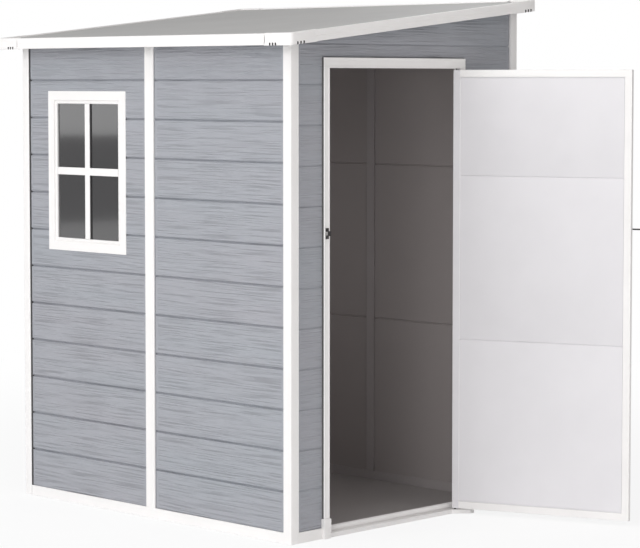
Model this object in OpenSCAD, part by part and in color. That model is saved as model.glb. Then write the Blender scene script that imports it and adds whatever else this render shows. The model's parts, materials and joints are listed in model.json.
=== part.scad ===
// Lean-to garden tool shed with a single side door and one four-light window.
// Millimetres, +Z up. The origin is on the ground at the centre of the footprint.
// -Y is the low front wall with the window, +Y the high back wall,
// +X the end wall with the door, -X the blind end wall.

/* [Shed] */
// Length over the corner posts, along X
shed_len = 1545; // [1300:1:2400]
// Depth over the corner posts, along Y
shed_depth = 1265; // [1150:1:1900]
// Height of the roof's underside above the ground, at the front face
eave_h = 1839; // [1800:1:2200]
// Slope of the roof, in degrees, rising to the back
roof_pitch = 6.25; // [3:0.25:12]

/* [Walls] */
// Thickness of a wall panel
wall_t = 18; // [14:1:22]
// How far the panels lie behind the faces of the posts
face_set = 6; // [4:1:10]

/* [Posts and joint strips] */
// Width of a corner post
post_w = 40; // [38:1:80]
// Depth to which a panel is let into a post
slot_depth = 10; // [8:1:12]
// Width of a joint strip on the outside
strip_w = 50; // [40:1:80]
// Width of a joint strip on the inside
strip_inner_w = 46; // [30:1:90]
// Thickness of a joint strip's inner flange
strip_inner_t = 8; // [5:1:12]
// Width of the web between two panels
strip_web = 12; // [8:1:20]

/* [Base] */
// Thickness of the floor deck
deck_t = 4; // [3:1:16]
// Height of the base rail's outer flange
rail_h = 40; // [30:1:60]
// Height of the base rail's inner flange
rail_inner_h = 40; // [34:1:70]
// Thickness of the base rail's inner flange
rail_lip_t = 6; // [4:1:10]

/* [Doorway] */
// Distance from the front corner to the door frame
frame_offset = 168; // [120:1:220]
// Clear width between the jambs
opening_w = 727; // [600:1:740]
// Distance from the eave down to the head's underside
head_drop = 104; // [80:1:200]
// Width of a jamb's face
jamb_w = 29; // [26:1:45]
// Height of the head's face
head_h = 38; // [30:1:45]
// Depth of the frame from front to back
frame_depth = 34; // [30:1:42]
// How far the frame stands in front of the posts
frame_proud = 4; // [2:1:8]
// Width of the shallow groove along the frame's face
groove_w = 13; // [8:1:16]
// Depth of the shallow groove along the frame's face
groove_d = 1.5; // [1:0.5:3]
// Height of the sockets that the jambs stand in
foot_h = 74; // [40:1:90]
// How far a socket stands in front of the frame
foot_proud = 9; // [4:1:15]
// How far a socket reaches past the jamb, over the wall
foot_side = 6; // [3:1:10]

/* [Threshold] */
// Height of the threshold's outer ledge
ledge_h = 16; // [14:1:24]
// Height of the threshold's rounded ridge
ridge_h = 38; // [34:1:50]
// Radius of the ridge's rounded top
ridge_r = 10; // [7:1:12]
// Gap between the closed leaf and the ridge
ridge_gap = 6; // [5:1:10]
// Strip of the threshold on the room side of the ridge
sill_in = 4; // [2:1:20]
// How far the hinge pad reaches in front of the posts
pad_out = 50; // [30:1:70]
// Length of the hinge pad before the jamb
pad_len = 39; // [32:1:60]

/* [Door leaf] */
// Thickness of the leaf
leaf_t = 22; // [20:1:28]
// Gap at the latch side
latch_gap = 5; // [5:1:10]
// Gap at the hinge side
hinge_gap = 9; // [9:1:12]
// Gap under the head
head_gap = 5; // [5:1:10]
// Gap over the ledge
ledge_gap = 5; // [5:1:12]
// Width of the leaf's border frame
stile_w = 28; // [24:1:50]
// How far the inner sheet lies behind the border frame
sheet_set = 2; // [1:0.5:4]
// Thickness of the inner sheet
sheet_t = 5; // [3:1:8]
// How far the outer panel lies behind the border frame
skin_set = 2; // [1:0.5:4]
// Angle at which the leaf stands open
door_open = 111; // [95:1:111]

/* [Pivot pins] */
// Radius of a pivot pin
pin_r = 4; // [3:0.5:5]
// Distance of a pin from the leaf's edge and outer face
pin_set = 8; // [7:1:9]
// Length of a pivot pin in its bore
pin_grip = 12; // [8:1:14]
// Clearance around a pivot pin
pin_clear = 0.05; // [0.02:0.01:0.1]

/* [Slide bolt] */
// Height of the bolt above the ground
bolt_z = 1129; // [900:1:1300]
// Radius of the bolt's rod
rod_r = 3; // [2.5:0.5:4]
// Distance from the leaf's face to the rod's centre
rod_off = 6; // [6:0.5:9]
// How far the rod reaches past the leaf when shot
rod_throw = 48; // [30:1:60]
// Clearance around the rod in its guides
rod_clear = 0.05; // [0.02:0.01:0.1]
// Radius of the rod's knob
knob_r = 4; // [3:0.5:6]
// Length of the rod's knob
knob_len = 14; // [8:1:20]
// Length of a guide along the rod
guide_len = 9; // [6:1:15]
// Thickness of metal over the rod in a guide
guide_t = 2.5; // [2:0.5:4]
// Thickness of the bolt's base plate
plate_t = 1.5; // [1:0.5:2]
// Height of the bolt's base plate
plate_h = 26; // [20:1:40]
// Distance from the leaf's free edge to the base plate
plate_edge = 4; // [3:1:20]

/* [Keeper] */
// Height of the keeper
keeper_h = 40; // [34:1:60]
// Width of the keeper
keeper_w = 15; // [10:1:20]
// Thickness of the keeper's strap
keeper_t = 1.8; // [1.5:0.1:3]
// Clearance between the rod and the strap
keeper_gap = 2; // [1.5:0.5:4]

/* [Window] */
// Width over the window frame
win_w = 472; // [360:1:560]
// Height over the window frame
win_h = 635; // [400:1:700]
// Distance from the eave down to the window frame's top
win_drop = 192; // [120:1:320]
// How far the window's centre lies from the middle of its panel, towards the doorway
win_shift = 1; // [0:1:40]
// Width of the window frame's face
win_face = 50; // [34:1:60]
// How far the frame stands in front of the panel
win_proud = 3; // [2:1:20]
// How far the frame's face covers the panel around the cut-out
win_cover = 20; // [10:1:26]
// Width of a glazing bar
bar_w = 30; // [16:1:40]
// How far the bars lie behind the frame's face
bar_set = 5; // [1:1:8]
// Thickness of the pane
pane_t = 4; // [3:1:5]
// Depth of the pane behind the panel's outer face
pane_set = 9; // [5:1:10]
// Depth of the rebate that holds the pane's edge
rebate = 6; // [4:1:10]
// Thickness of the inner frame on the wall
trim_t = 6; // [4:1:10]

/* [Roof] */
// Overhang at the front and at both ends
overhang = 73; // [50:1:120]
// Overhang at the back
back_overhang = 30; // [16:1:80]
// Thickness of the roof panels, measured upright
roof_t = 22; // [16:1:40]
// Thickness of the fascias
fascia_t = 14; // [10:1:16]
// Height of a fascia above the roof panels
fascia_lip = 4; // [2:1:10]
// Height of a fascia below the roof's underside
fascia_drop = 16; // [8:1:30]
// Length of a corner cap along each fascia
cap_len = 137; // [80:1:200]
// How far a corner cap stands out from the fascias
cap_proud = 3; // [2:1:6]
// Radius of a corner cap's upright edge
cap_r = 20; // [8:1:24]

/* [Hidden] */
$fn = 64;

white = "#f4f2f1";
grey = "#a5a9b2";
roof_grey = "#aeadac";
floor_grey = "#8a8685";
black = "#2b282a";
glass = "#7d8085";

half_x = shed_len / 2;
half_y = shed_depth / 2;
past = 1;
reach = shed_len + shed_depth;
high = 2 * eave_h;

// Depths inward from the posts' outer faces
panel_in = face_set + wall_t;
rail_in = panel_in + rail_lip_t;
frame_in = frame_depth - frame_proud;

// The doorway, along Y
head_z = eave_h - head_drop;
frame_y0 = -half_y + frame_offset;
open_y0 = frame_y0 + jamb_w;
open_y1 = open_y0 + opening_w;
frame_y1 = open_y1 + jamb_w;
frame_x = half_x + frame_proud;
foot_x = frame_x + foot_proud;

// The closed leaf and its pins
leaf_x0 = frame_x - leaf_t;
leaf_y0 = open_y0 + latch_gap;
leaf_y1 = open_y1 - hinge_gap;
leaf_z0 = ledge_h + ledge_gap;
leaf_z1 = head_z - head_gap;
pin_x = frame_x - pin_set;
pin_y = leaf_y1 - pin_set;

// The threshold
ridge_x = leaf_x0 - ridge_gap - ridge_r;
sill_x0 = ridge_x - ridge_r - sill_in;
pad_y0 = open_y1 - pad_len;

// The slide bolt on the closed leaf
rod_x = frame_x + rod_off;
knob_gap = 5;
guide_out = rod_off + rod_r + guide_t;
guide_h = 2 * (rod_r + guide_t);
bolt_travel = rod_throw + latch_gap;
guide_edge = 2;
first_guide_y = leaf_y0 + plate_edge + guide_edge;
knob_y = first_guide_y + guide_len + knob_gap + knob_r;
second_guide_y = knob_y + bolt_travel + knob_r + knob_gap;
bolt_end_y = second_guide_y + guide_len;

// The window
win_x = win_shift - (strip_w / 2 + half_x - post_w) / 2;
win_z = eave_h - win_drop - win_h;
pane_y = -half_y + face_set + pane_set;

// A box between two values on each axis, given in either order
module block(x, y, z)
    translate([min(x), min(y), min(z)])
        cube([max(x) - min(x), max(y) - min(y), max(z) - min(z)]);

// Everything below the sloping plane that lies rise above the roof's underside
module below_slope(rise)
    translate([0, -half_y, eave_h + rise]) rotate([roof_pitch, 0, 0])
        translate([-reach, -reach, -2 * reach]) cube(2 * reach);

// A box from height z0 up to the sloping underside of the roof
module under_roof(x, y, z0)
    intersection() {
        block(x, y, [z0, high]);
        below_slope(0);
    }

// A band parallel to the roof, from lo to hi above the roof's underside
module roof_band(x, y, lo, hi)
    difference() {
        intersection() {
            block(x, y, [0, high]);
            below_slope(hi);
        }
        below_slope(lo);
    }

// A rectangular ring that stands upright, facing -Y, from depth y0 to y1
module window_ring(w, h, inner_w, inner_h, y0, y1)
    translate([win_x, y1, win_z + win_h / 2]) rotate([90, 0, 0])
        linear_extrude(y1 - y0)
            difference() {
                square([w, h], center = true);
                square([inner_w, inner_h], center = true);
            }

// Turns the closed leaf about its pins to where it stands open
module opened()
    translate([pin_x, pin_y, 0]) rotate([0, 0, door_open]) translate([-pin_x, -pin_y, 0])
        children();

// ---- Base ----

module rail_length(len)
    rotate([90, 0, 90])
        linear_extrude(len)
            polygon([
                [0, 0], [rail_in, 0], [rail_in, rail_inner_h], [panel_in, rail_inner_h],
                [panel_in, deck_t], [face_set, deck_t], [face_set, rail_h], [0, rail_h]
            ]);

module floor_deck() color(floor_grey)
    linear_extrude(deck_t)
        difference() {
            square([shed_len - 2 * rail_in, shed_depth - 2 * rail_in], center = true);
            for (sx = [-1, 1], sy = [-1, 1])
                translate([sx * half_x, sy * half_y]) square(2 * post_w, center = true);
            translate([sill_x0, frame_y0 - foot_side])
                square([half_x - sill_x0, frame_y1 - frame_y0 + 2 * foot_side]);
        }

module front_base_rail() color(white)
    translate([-half_x + post_w, -half_y, 0]) rail_length(shed_len - 2 * post_w);

module back_base_rail() color(white)
    mirror([0, 1, 0]) translate([-half_x + post_w, -half_y, 0]) rail_length(shed_len - 2 * post_w);

module blind_end_base_rail() color(white)
    translate([-half_x, half_y - post_w, 0]) rotate([0, 0, -90])
        rail_length(shed_depth - 2 * post_w);

module door_end_base_rails() color(white) {
    translate([half_x, -half_y + post_w, 0]) rotate([0, 0, 90])
        rail_length(frame_y0 - foot_side + half_y - post_w);
    translate([half_x, frame_y1 + foot_side, 0]) rotate([0, 0, 90])
        rail_length(half_y - post_w - frame_y1 - foot_side);
}

module threshold() color(white) {
    sill_y = [frame_y0 - foot_side, frame_y1 + foot_side];
    block([sill_x0, half_x - frame_in], sill_y, [0, ledge_h]);
    block([half_x - frame_in, half_x], [open_y0, pad_y0], [0, ledge_h]);
    block([ridge_x - ridge_r, ridge_x + ridge_r], [open_y0, open_y1], [ledge_h, ridge_h - ridge_r]);
    translate([ridge_x, open_y1, ridge_h - ridge_r]) rotate([90, 0, 0])
        cylinder(r = ridge_r, h = opening_w);
}

// A jamb's socket; side is -1 at the latch and 1 at the hinge
module foot(y_open, side) {
    y_jamb = y_open + side * jamb_w;
    y_side = y_jamb + side * foot_side;
    block([half_x - frame_in, frame_x], [y_open, y_jamb], [0, foot_h]);
    block([half_x - face_set, foot_x], [y_open, y_side], [0, foot_h]);
    block([half_x - frame_in, foot_x], [y_open, y_side], [0, deck_t]);
}

module latch_foot() color(white) foot(open_y0, -1);

module hinge_foot() color(white)
    difference() {
        union() {
            foot(open_y1, 1);
            linear_extrude(ledge_h)
                polygon([
                    [half_x - frame_in, pad_y0], [half_x, pad_y0],
                    [half_x + pad_out, open_y1 + jamb_w / 2],
                    [half_x + pad_out, frame_y1 + foot_side], [foot_x, frame_y1 + foot_side],
                    [foot_x, open_y1], [half_x - frame_in, open_y1]
                ]);
        }
        translate([pin_x, pin_y, ledge_h - pin_grip - past])
            cylinder(r = pin_r + pin_clear, h = pin_grip + 2 * past);
    }

// ---- Posts and joint strips ----

module corner_post(sx, sy) color(white)
    difference() {
        under_roof([sx * half_x, sx * (half_x - post_w)], [sy * half_y, sy * (half_y - post_w)], 0);
        block([sx * (half_x - post_w - past), sx * (half_x - post_w + slot_depth)],
              [sy * (half_y - face_set), sy * (half_y - panel_in)], [deck_t, high]);
        block([sx * (half_x - face_set), sx * (half_x - panel_in)],
              [sy * (half_y - post_w - past), sy * (half_y - post_w + slot_depth)], [deck_t, high]);
    }

module front_door_post() corner_post(1, -1);

module front_blind_post() corner_post(-1, -1);

module back_door_post() corner_post(1, 1);

module back_blind_post() corner_post(-1, 1);

module long_wall_strip(sy) color(white) {
    under_roof([-strip_w / 2, strip_w / 2], [sy * half_y, sy * (half_y - face_set)], rail_h);
    under_roof([-strip_web / 2, strip_web / 2], [sy * (half_y - face_set), sy * (half_y - panel_in)], deck_t);
    under_roof([-strip_inner_w / 2, strip_inner_w / 2],
               [sy * (half_y - panel_in), sy * (half_y - panel_in - strip_inner_t)], rail_inner_h);
}

module front_joint_strip() long_wall_strip(-1);

module back_joint_strip() long_wall_strip(1);

module blind_end_joint_strip() color(white) {
    under_roof([-half_x, -half_x + face_set], [-strip_w / 2, strip_w / 2], rail_h);
    under_roof([-half_x + face_set, -half_x + panel_in], [-strip_web / 2, strip_web / 2], deck_t);
    under_roof([-half_x + panel_in, -half_x + panel_in + strip_inner_t],
               [-strip_inner_w / 2, strip_inner_w / 2], rail_inner_h);
}

// ---- Wall panels ----

module long_wall_panel(sx, sy)
    under_roof([sx * strip_web / 2, sx * (half_x - post_w + slot_depth)],
               [sy * (half_y - face_set), sy * (half_y - panel_in)], deck_t);

module front_window_panel() color(grey)
    difference() {
        long_wall_panel(-1, -1);
        translate([win_x, -half_y, win_z + win_h / 2])
            cube([win_w - 2 * win_cover, 2 * (panel_in + past), win_h - 2 * win_cover], center = true);
    }

module front_plain_panel() color(grey) long_wall_panel(1, -1);

module back_door_side_panel() color(grey) long_wall_panel(1, 1);

module back_blind_side_panel() color(grey) long_wall_panel(-1, 1);

module end_wall_panel(sx, y0, y1, z0)
    under_roof([sx * (half_x - face_set), sx * (half_x - panel_in)], [y0, y1], z0);

module blind_end_front_panel() color(grey)
    end_wall_panel(-1, -half_y + post_w - slot_depth, -strip_web / 2, deck_t);

module blind_end_back_panel() color(grey)
    end_wall_panel(-1, strip_web / 2, half_y - post_w + slot_depth, deck_t);

module door_end_front_panel() color(grey)
    end_wall_panel(1, -half_y + post_w - slot_depth, frame_y0, deck_t);

module door_end_back_panel() color(grey)
    end_wall_panel(1, frame_y1, half_y - post_w + slot_depth, deck_t);

module over_door_panel() color(grey)
    end_wall_panel(1, frame_y0, frame_y1, head_z + head_h);

// ---- Door frame ----

// Section of a frame member of face width w, with its outer face at x = 0
module frame_section(w)
    difference() {
        translate([-frame_depth, 0]) square([frame_depth, w]);
        translate([-groove_d, (w - groove_w) / 2]) square([groove_d + past, groove_w]);
    }

module jamb(y0)
    translate([frame_x, y0, foot_h]) linear_extrude(head_z - foot_h) frame_section(jamb_w);

module latch_jamb() color(white) jamb(frame_y0);

module hinge_jamb() color(white) jamb(open_y1);

module door_head() color(white)
    difference() {
        translate([frame_x, frame_y1, head_z]) rotate([90, 0, 0])
            linear_extrude(frame_y1 - frame_y0) frame_section(head_h);
        translate([pin_x, pin_y, head_z - past])
            cylinder(r = pin_r + pin_clear, h = pin_grip + 2 * past);
    }

module bolt_keeper() color(black) {
    loop_out = rod_off + rod_r + keeper_gap;
    half_gap = rod_r + 2 * keeper_gap;
    translate([frame_x, open_y0 - jamb_w / 2 + keeper_w / 2, bolt_z]) rotate([90, 0, 0])
        linear_extrude(keeper_w)
            difference() {
                union() {
                    translate([0, -keeper_h / 2]) square([keeper_t, keeper_h]);
                    translate([0, -half_gap - keeper_t])
                        square([loop_out + keeper_t, 2 * (half_gap + keeper_t)]);
                }
                translate([-past, -half_gap]) square([loop_out + past, 2 * half_gap]);
            }
}

// ---- Window ----

glass_w = win_w - 2 * win_face;
glass_h = win_h - 2 * win_face;
win_wall_y = -half_y + face_set;

module window_frame() color(white) {
    window_ring(win_w, win_h, glass_w, glass_h, win_wall_y - win_proud, win_wall_y);
    window_ring(win_w - 2 * win_cover, win_h - 2 * win_cover, glass_w, glass_h, win_wall_y, pane_y);
    window_ring(win_w - 2 * win_cover, win_h - 2 * win_cover, glass_w + 2 * rebate, glass_h + 2 * rebate,
                pane_y, win_wall_y + wall_t);
}

module window_bars() color(white) {
    bar_y = [win_wall_y - win_proud + bar_set, pane_y];
    mid_z = win_z + win_h / 2;
    block([win_x - bar_w / 2, win_x + bar_w / 2], bar_y, [mid_z - glass_h / 2, mid_z + glass_h / 2]);
    block([win_x - glass_w / 2, win_x + glass_w / 2], bar_y, [mid_z - bar_w / 2, mid_z + bar_w / 2]);
}

module window_pane() color(glass, 0.4)
    block([win_x - glass_w / 2 - rebate, win_x + glass_w / 2 + rebate], [pane_y, pane_y + pane_t],
          [win_z + win_face - rebate, win_z + win_h - win_face + rebate]);

module window_inner_frame() color(white) {
    window_ring(win_w, win_h, glass_w, glass_h, win_wall_y + wall_t, win_wall_y + wall_t + trim_t);
    window_ring(glass_w + 2 * rebate, glass_h + 2 * rebate, glass_w, glass_h,
                pane_y + pane_t, win_wall_y + wall_t);
}

// ---- Roof ----

roof_x = half_x + overhang;
roof_y0 = -half_y - overhang;
roof_y1 = half_y + back_overhang;

module roof_panel(sx) color(roof_grey)
    roof_band([0, sx * (roof_x - fascia_t)], [roof_y0 + fascia_t, roof_y1 - fascia_t], 0, roof_t);

module roof_panel_door_side() roof_panel(1);

module roof_panel_blind_side() roof_panel(-1);

module fascia(x, y) color(white)
    roof_band(x, y, -fascia_drop, roof_t + fascia_lip);

module front_fascia()
    fascia([-roof_x + cap_len, roof_x - cap_len], [roof_y0, roof_y0 + fascia_t]);

module back_fascia()
    fascia([-roof_x + cap_len, roof_x - cap_len], [roof_y1 - fascia_t, roof_y1]);

module door_end_fascia()
    fascia([roof_x - fascia_t, roof_x], [roof_y0 + cap_len, roof_y1 - cap_len]);

module blind_end_fascia()
    fascia([-roof_x, -roof_x + fascia_t], [roof_y0 + cap_len, roof_y1 - cap_len]);

// Plan of a corner cap, with its outer corner at the origin and its legs towards -X and -Y
module cap_plan() {
    leg = cap_len + cap_proud;
    wrap = fascia_t + cap_proud;
    difference() {
        union() {
            translate([-leg, -leg]) square([leg - cap_r, leg]);
            translate([-leg, -leg]) square([leg, leg - cap_r]);
            translate([-cap_r, -cap_r]) circle(cap_r);
        }
        translate([-leg - past, -leg - past]) square(leg + past - wrap);
    }
}

module roof_corner_caps() color(white)
    for (sx = [0, 1], sy = [0, 1])
        mirror([sx, 0, 0])
            intersection() {
                translate([roof_x + cap_proud, sy == 1 ? roof_y0 - cap_proud : roof_y1 + cap_proud, 0])
                    mirror([0, sy, 0]) linear_extrude(high) cap_plan();
                roof_band([0, 2 * half_x], [-shed_depth, shed_depth],
                          -fascia_drop - cap_proud, roof_t + fascia_lip + cap_proud);
            }

// ---- Door leaf ----

module door_border_frame() color(white) opened()
    difference() {
        block([leaf_x0, frame_x], [leaf_y0, leaf_y1], [leaf_z0, leaf_z1]);
        block([leaf_x0 - past, frame_x + past], [leaf_y0 + stile_w, leaf_y1 - stile_w],
              [leaf_z0 + stile_w, leaf_z1 - stile_w]);
    }

module leaf_field(x0, x1)
    block([x0, x1], [leaf_y0 + stile_w, leaf_y1 - stile_w], [leaf_z0 + stile_w, leaf_z1 - stile_w]);

module door_inner_sheet() color(white) opened()
    leaf_field(leaf_x0 + sheet_set, leaf_x0 + sheet_set + sheet_t);

module door_outer_panel() color(grey) opened()
    leaf_field(leaf_x0 + sheet_set + sheet_t, frame_x - skin_set);

module door_pivot_pins() color(black) opened() {
    translate([pin_x, pin_y, leaf_z1]) cylinder(r = pin_r, h = head_gap + pin_grip);
    translate([pin_x, pin_y, ledge_h - pin_grip]) cylinder(r = pin_r, h = ledge_gap + pin_grip);
}

module bolt_guide(y0)
    difference() {
        block([frame_x + plate_t, frame_x + guide_out], [y0, y0 + guide_len],
              [bolt_z - guide_h / 2, bolt_z + guide_h / 2]);
        translate([rod_x, y0 - past, bolt_z]) rotate([-90, 0, 0])
            cylinder(r = rod_r + rod_clear, h = guide_len + 2 * past);
    }

module bolt_body() color(black) opened() {
    block([frame_x, frame_x + plate_t], [leaf_y0 + plate_edge, bolt_end_y + guide_edge],
          [bolt_z - plate_h / 2, bolt_z + plate_h / 2]);
    bolt_guide(first_guide_y);
    bolt_guide(second_guide_y);
}

module bolt_rod() color(black) opened() {
    translate([rod_x, leaf_y0 - rod_throw, bolt_z]) rotate([-90, 0, 0])
        cylinder(r = rod_r, h = bolt_end_y - leaf_y0 + rod_throw);
    translate([rod_x, knob_y, bolt_z]) rotate([0, 90, 0]) cylinder(r = knob_r, h = knob_len);
}

floor_deck();
front_base_rail();
back_base_rail();
blind_end_base_rail();
door_end_base_rails();
threshold();
latch_foot();
hinge_foot();
front_door_post();
front_blind_post();
back_door_post();
back_blind_post();
front_joint_strip();
back_joint_strip();
blind_end_joint_strip();
front_window_panel();
front_plain_panel();
back_door_side_panel();
back_blind_side_panel();
blind_end_front_panel();
blind_end_back_panel();
door_end_front_panel();
door_end_back_panel();
over_door_panel();
door_head();
latch_jamb();
hinge_jamb();
bolt_keeper();
window_frame();
window_bars();
window_pane();
window_inner_frame();
roof_panel_door_side();
roof_panel_blind_side();
front_fascia();
back_fascia();
door_end_fascia();
blind_end_fascia();
roof_corner_caps();
door_border_frame();
door_inner_sheet();
door_outer_panel();
door_pivot_pins();
bolt_body();
bolt_rod();
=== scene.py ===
import json
import math
from collections import namedtuple

import bmesh
import bpy
from mathutils import Matrix, Vector

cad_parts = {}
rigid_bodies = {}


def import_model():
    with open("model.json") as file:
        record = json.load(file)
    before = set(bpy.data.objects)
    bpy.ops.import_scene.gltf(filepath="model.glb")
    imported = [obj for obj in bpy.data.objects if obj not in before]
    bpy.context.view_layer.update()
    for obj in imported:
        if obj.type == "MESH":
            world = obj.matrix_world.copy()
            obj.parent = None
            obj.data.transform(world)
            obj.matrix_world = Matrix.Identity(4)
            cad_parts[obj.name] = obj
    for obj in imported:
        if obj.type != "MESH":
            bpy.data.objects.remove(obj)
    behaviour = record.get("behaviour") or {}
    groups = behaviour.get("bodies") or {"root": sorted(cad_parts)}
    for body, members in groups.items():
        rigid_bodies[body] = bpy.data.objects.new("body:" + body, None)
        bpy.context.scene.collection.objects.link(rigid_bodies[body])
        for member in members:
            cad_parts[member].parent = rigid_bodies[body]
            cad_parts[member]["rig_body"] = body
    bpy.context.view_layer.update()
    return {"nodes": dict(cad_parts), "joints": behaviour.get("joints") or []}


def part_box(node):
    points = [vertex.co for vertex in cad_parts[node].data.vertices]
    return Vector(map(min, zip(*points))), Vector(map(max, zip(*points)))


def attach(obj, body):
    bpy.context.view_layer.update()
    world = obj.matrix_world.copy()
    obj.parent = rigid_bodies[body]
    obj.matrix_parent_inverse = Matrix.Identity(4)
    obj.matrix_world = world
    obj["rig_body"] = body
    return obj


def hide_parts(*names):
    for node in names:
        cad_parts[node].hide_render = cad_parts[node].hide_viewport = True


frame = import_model()

bl_info = {
    "name": "Lean-to resin tool shed",
    "version": (1, 0, 0),
    "blender": (4, 5, 0),
    "location": "View3D > Sidebar > Tool shed",
    "description": "Dresses the frame of a small lean-to tool shed in grained resin panels and white trims",
    "category": "Object",
}

MM = 0.001

# ---- Places taken from the frame ----

POST_LO, POST_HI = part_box("front_door_post")
BACK_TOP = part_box("back_door_post")[1].z
FRONT_LO, FRONT_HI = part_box("front_plain_panel")
HEAD_LO, HEAD_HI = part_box("door_head")
RAIL_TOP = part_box("front_base_rail")[1].z
WINDOW_LO, WINDOW_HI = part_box("window_frame")

HALF_X = POST_HI.x
HALF_Y = -POST_LO.y
POST_W = POST_HI.x - POST_LO.x
# How far the panels' faces lie behind those of the posts
FACE_SET = FRONT_LO.y + HALF_Y
WALL_T = FRONT_HI.y - FRONT_LO.y
SLOPE = (BACK_TOP - POST_HI.z) / (HALF_Y - POST_HI.y)

# Places closer than this are the same
SAME = 1e-6
# Margin of a test for the face that a point lies on
HAIR = 0.1 * MM
# How much too tall a piece starts that is cut off under the roof
TALLER = 5 * MM

HINGE = next(j for j in frame["joints"] if j["name"] == "door_hinge")
PIN = Vector(HINGE["pos_m"])
DOOR_OPEN = -math.radians(HINGE["range_deg"][0])


def roof_under(y):
    """Height of the roof's underside at a depth y."""
    return POST_HI.z + (y - POST_HI.y) * SLOPE


# ---- Sizes and colours ----


def linear(code):
    """A linear colour from an sRGB hex value."""
    parts = [int(code[i:i + 2], 16) / 255 for i in (0, 2, 4)]
    return tuple(c / 12.92 if c <= 0.04045 else ((c + 0.055) / 1.055) ** 2.4 for c in parts)


def length(name, text, value):
    """A length property, in metres."""
    return bpy.props.FloatProperty(name=name, description=text, default=value, min=0, precision=5,
                                   subtype="DISTANCE", unit="LENGTH")


def colour(name, text, code):
    """A colour property with a default given as an sRGB hex value."""
    return bpy.props.FloatVectorProperty(name=name, description=text, default=linear(code), size=3,
                                         min=0, max=1, subtype="COLOR")


class ShedSizes(bpy.types.PropertyGroup):
    """Sizes of the fine detail that the frame leaves out"""
    plank_pitch: length("Plank pitch", "Height of one plank of a wall panel", 150 * MM)
    first_groove: length("First groove", "Height of the lowest groove above the ground", 39 * MM)
    end_pitch: length("End plank pitch", "Height of one plank of the end wall with the door", 148.4 * MM)
    end_groove: length("End groove", "Height of that wall's lowest groove above the ground", 42.6 * MM)
    end_depth: length("End groove depth", "Depth of a groove of that wall", 3.5 * MM)
    groove_width: length("Groove width", "Width of a groove between two planks", 9 * MM)
    groove_depth: length("Groove depth", "Depth of a groove between two planks", 8 * MM)
    slot_width: length("Slot width", "Width of the open slot between a panel and a post", 3 * MM)
    slot_depth: length("Slot depth", "Depth of the open slot between a panel and a post", 10 * MM)
    seam_width: length("Seam width", "Width of the fine seam where a panel meets a strip or rail", 1.2 * MM)
    seam_depth: length("Seam depth", "Depth of the fine seam where a panel meets a strip or rail", 2 * MM)
    smooth_margin: length("Smooth margin", "Width of the grainless band at a panel's sides", 16 * MM)
    grain_slope: bpy.props.FloatProperty(name="Grain slope", description="Steepness of the grain's ridges",
                                         default=0.58, min=0, max=1, subtype="FACTOR")
    trim_round: length("Trim rounding", "Rounding of the white trims' edges", 1.5 * MM)
    metal_round: length("Metal rounding", "Rounding of the bolt's edges", 0.5 * MM)
    cap_curve: length("Cap curve", "How far the corner caps' curved ends draw back at mid height", 7 * MM)


class ShedColours(bpy.types.PropertyGroup):
    """Colours of the finishes"""
    panel: colour("Wall panels", "Blue-grey of the grained wall panels", "A4A6AC")
    lining: colour("Inner faces", "Warm off-white of the panels' inner faces", "A9A2A1")
    # A grey copy of the trims' white, painted as shade on their faces inside the dim room
    shaded_trim: colour("Painted shade on inner trims", "White of the rails and strips inside the shed, greyed by painted shade", "AEA8A8")
    trim: colour("Trims", "White of the posts, strips, rails and fascias", "F8F6F5")
    sheet: colour("Leaf's inner sheet", "Off-white of the sheet inside the door leaf", "E9E7EA")
    roof: colour("Roof", "Grey of the roof panels", "B3B2B1")
    deck: colour("Floor", "Grey of the floor deck", "B2ADAC")
    # Dark grey painted as shade on faces in slots, gaps and the caps' notches
    painted_shade: colour("Painted shade", "Dark grey painted where shade falls in slots, gaps and the caps' drain slots", "6A6969")
    metal: colour("Black metal", "Black of the bolt, keeper and pins", "262325")
    # The pane's near black is painted shade that stands for the dark room behind it
    glass: colour("Glass", "Near black of the window pane, painted shade of the dark room behind it", "2E2D2F")
    ground: colour("Ground", "Pale studio floor", "FAFAFA")


# ---- Materials ----


def add_node(tree, kind, settings=None, inputs=None):
    """Adds a node, sets its own fields, and sets its inputs to values or links them to sockets."""
    node = tree.nodes.new(kind)
    for field, value in (settings or {}).items():
        setattr(node, field, value)
    for key, value in (inputs or {}).items():
        if isinstance(value, bpy.types.NodeSocket):
            tree.links.new(value, node.inputs[key])
        else:
            node.inputs[key].default_value = value
    return node


def new_material(name):
    """An empty node material and its tree."""
    made = bpy.data.materials.new(name)
    made.use_nodes = True
    made.node_tree.nodes.clear()
    return made, made.node_tree


def rgba(value):
    """A colour with full alpha."""
    return (*value, 1.0)


# Sizes of the wall panels' patterns along and across a plank, in millimetres: the waver of the grain, its
# fine and its broad ridges, and the drift of the colour
WAVER = (400, 111.1)
FINE_RIDGES = (250, 4.348)
BROAD_RIDGES = (625, 18.18)
COLOUR_DRIFT = (1250, 142.9)
# How far the waver moves a ridge up or down
WAVER_SHIFT = 7 * MM
# Height of the broad ridges beside that of the fine ones
BROAD_SHARE = 0.2
# Heights of the joint relief that are a trough and a crest
TROUGH = 0.45
CREST = 0.75
# Share by which a crest is painted lighter and a trough darker than the panel, as highlight and shade of the
# ridges
RIDGE_PAINTED_SHADING = 0.06
# Tip of a face up or down at which the grain starts to fade, and at which it has gone
FADE_FROM = 0.05
FADE_TO = 0.3
# Shares of a smooth band's width at which the grain begins and is whole
BAND_FROM = 0.8
BAND_TO = 1.15
# What the panel's colour is multiplied by where the pigment is cooler and where it is warmer
COOLER = (0.98, 1.01, 1.02)
WARMER = (1.02, 0.99, 1.0)
RESIN_IOR = 1.53


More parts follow.
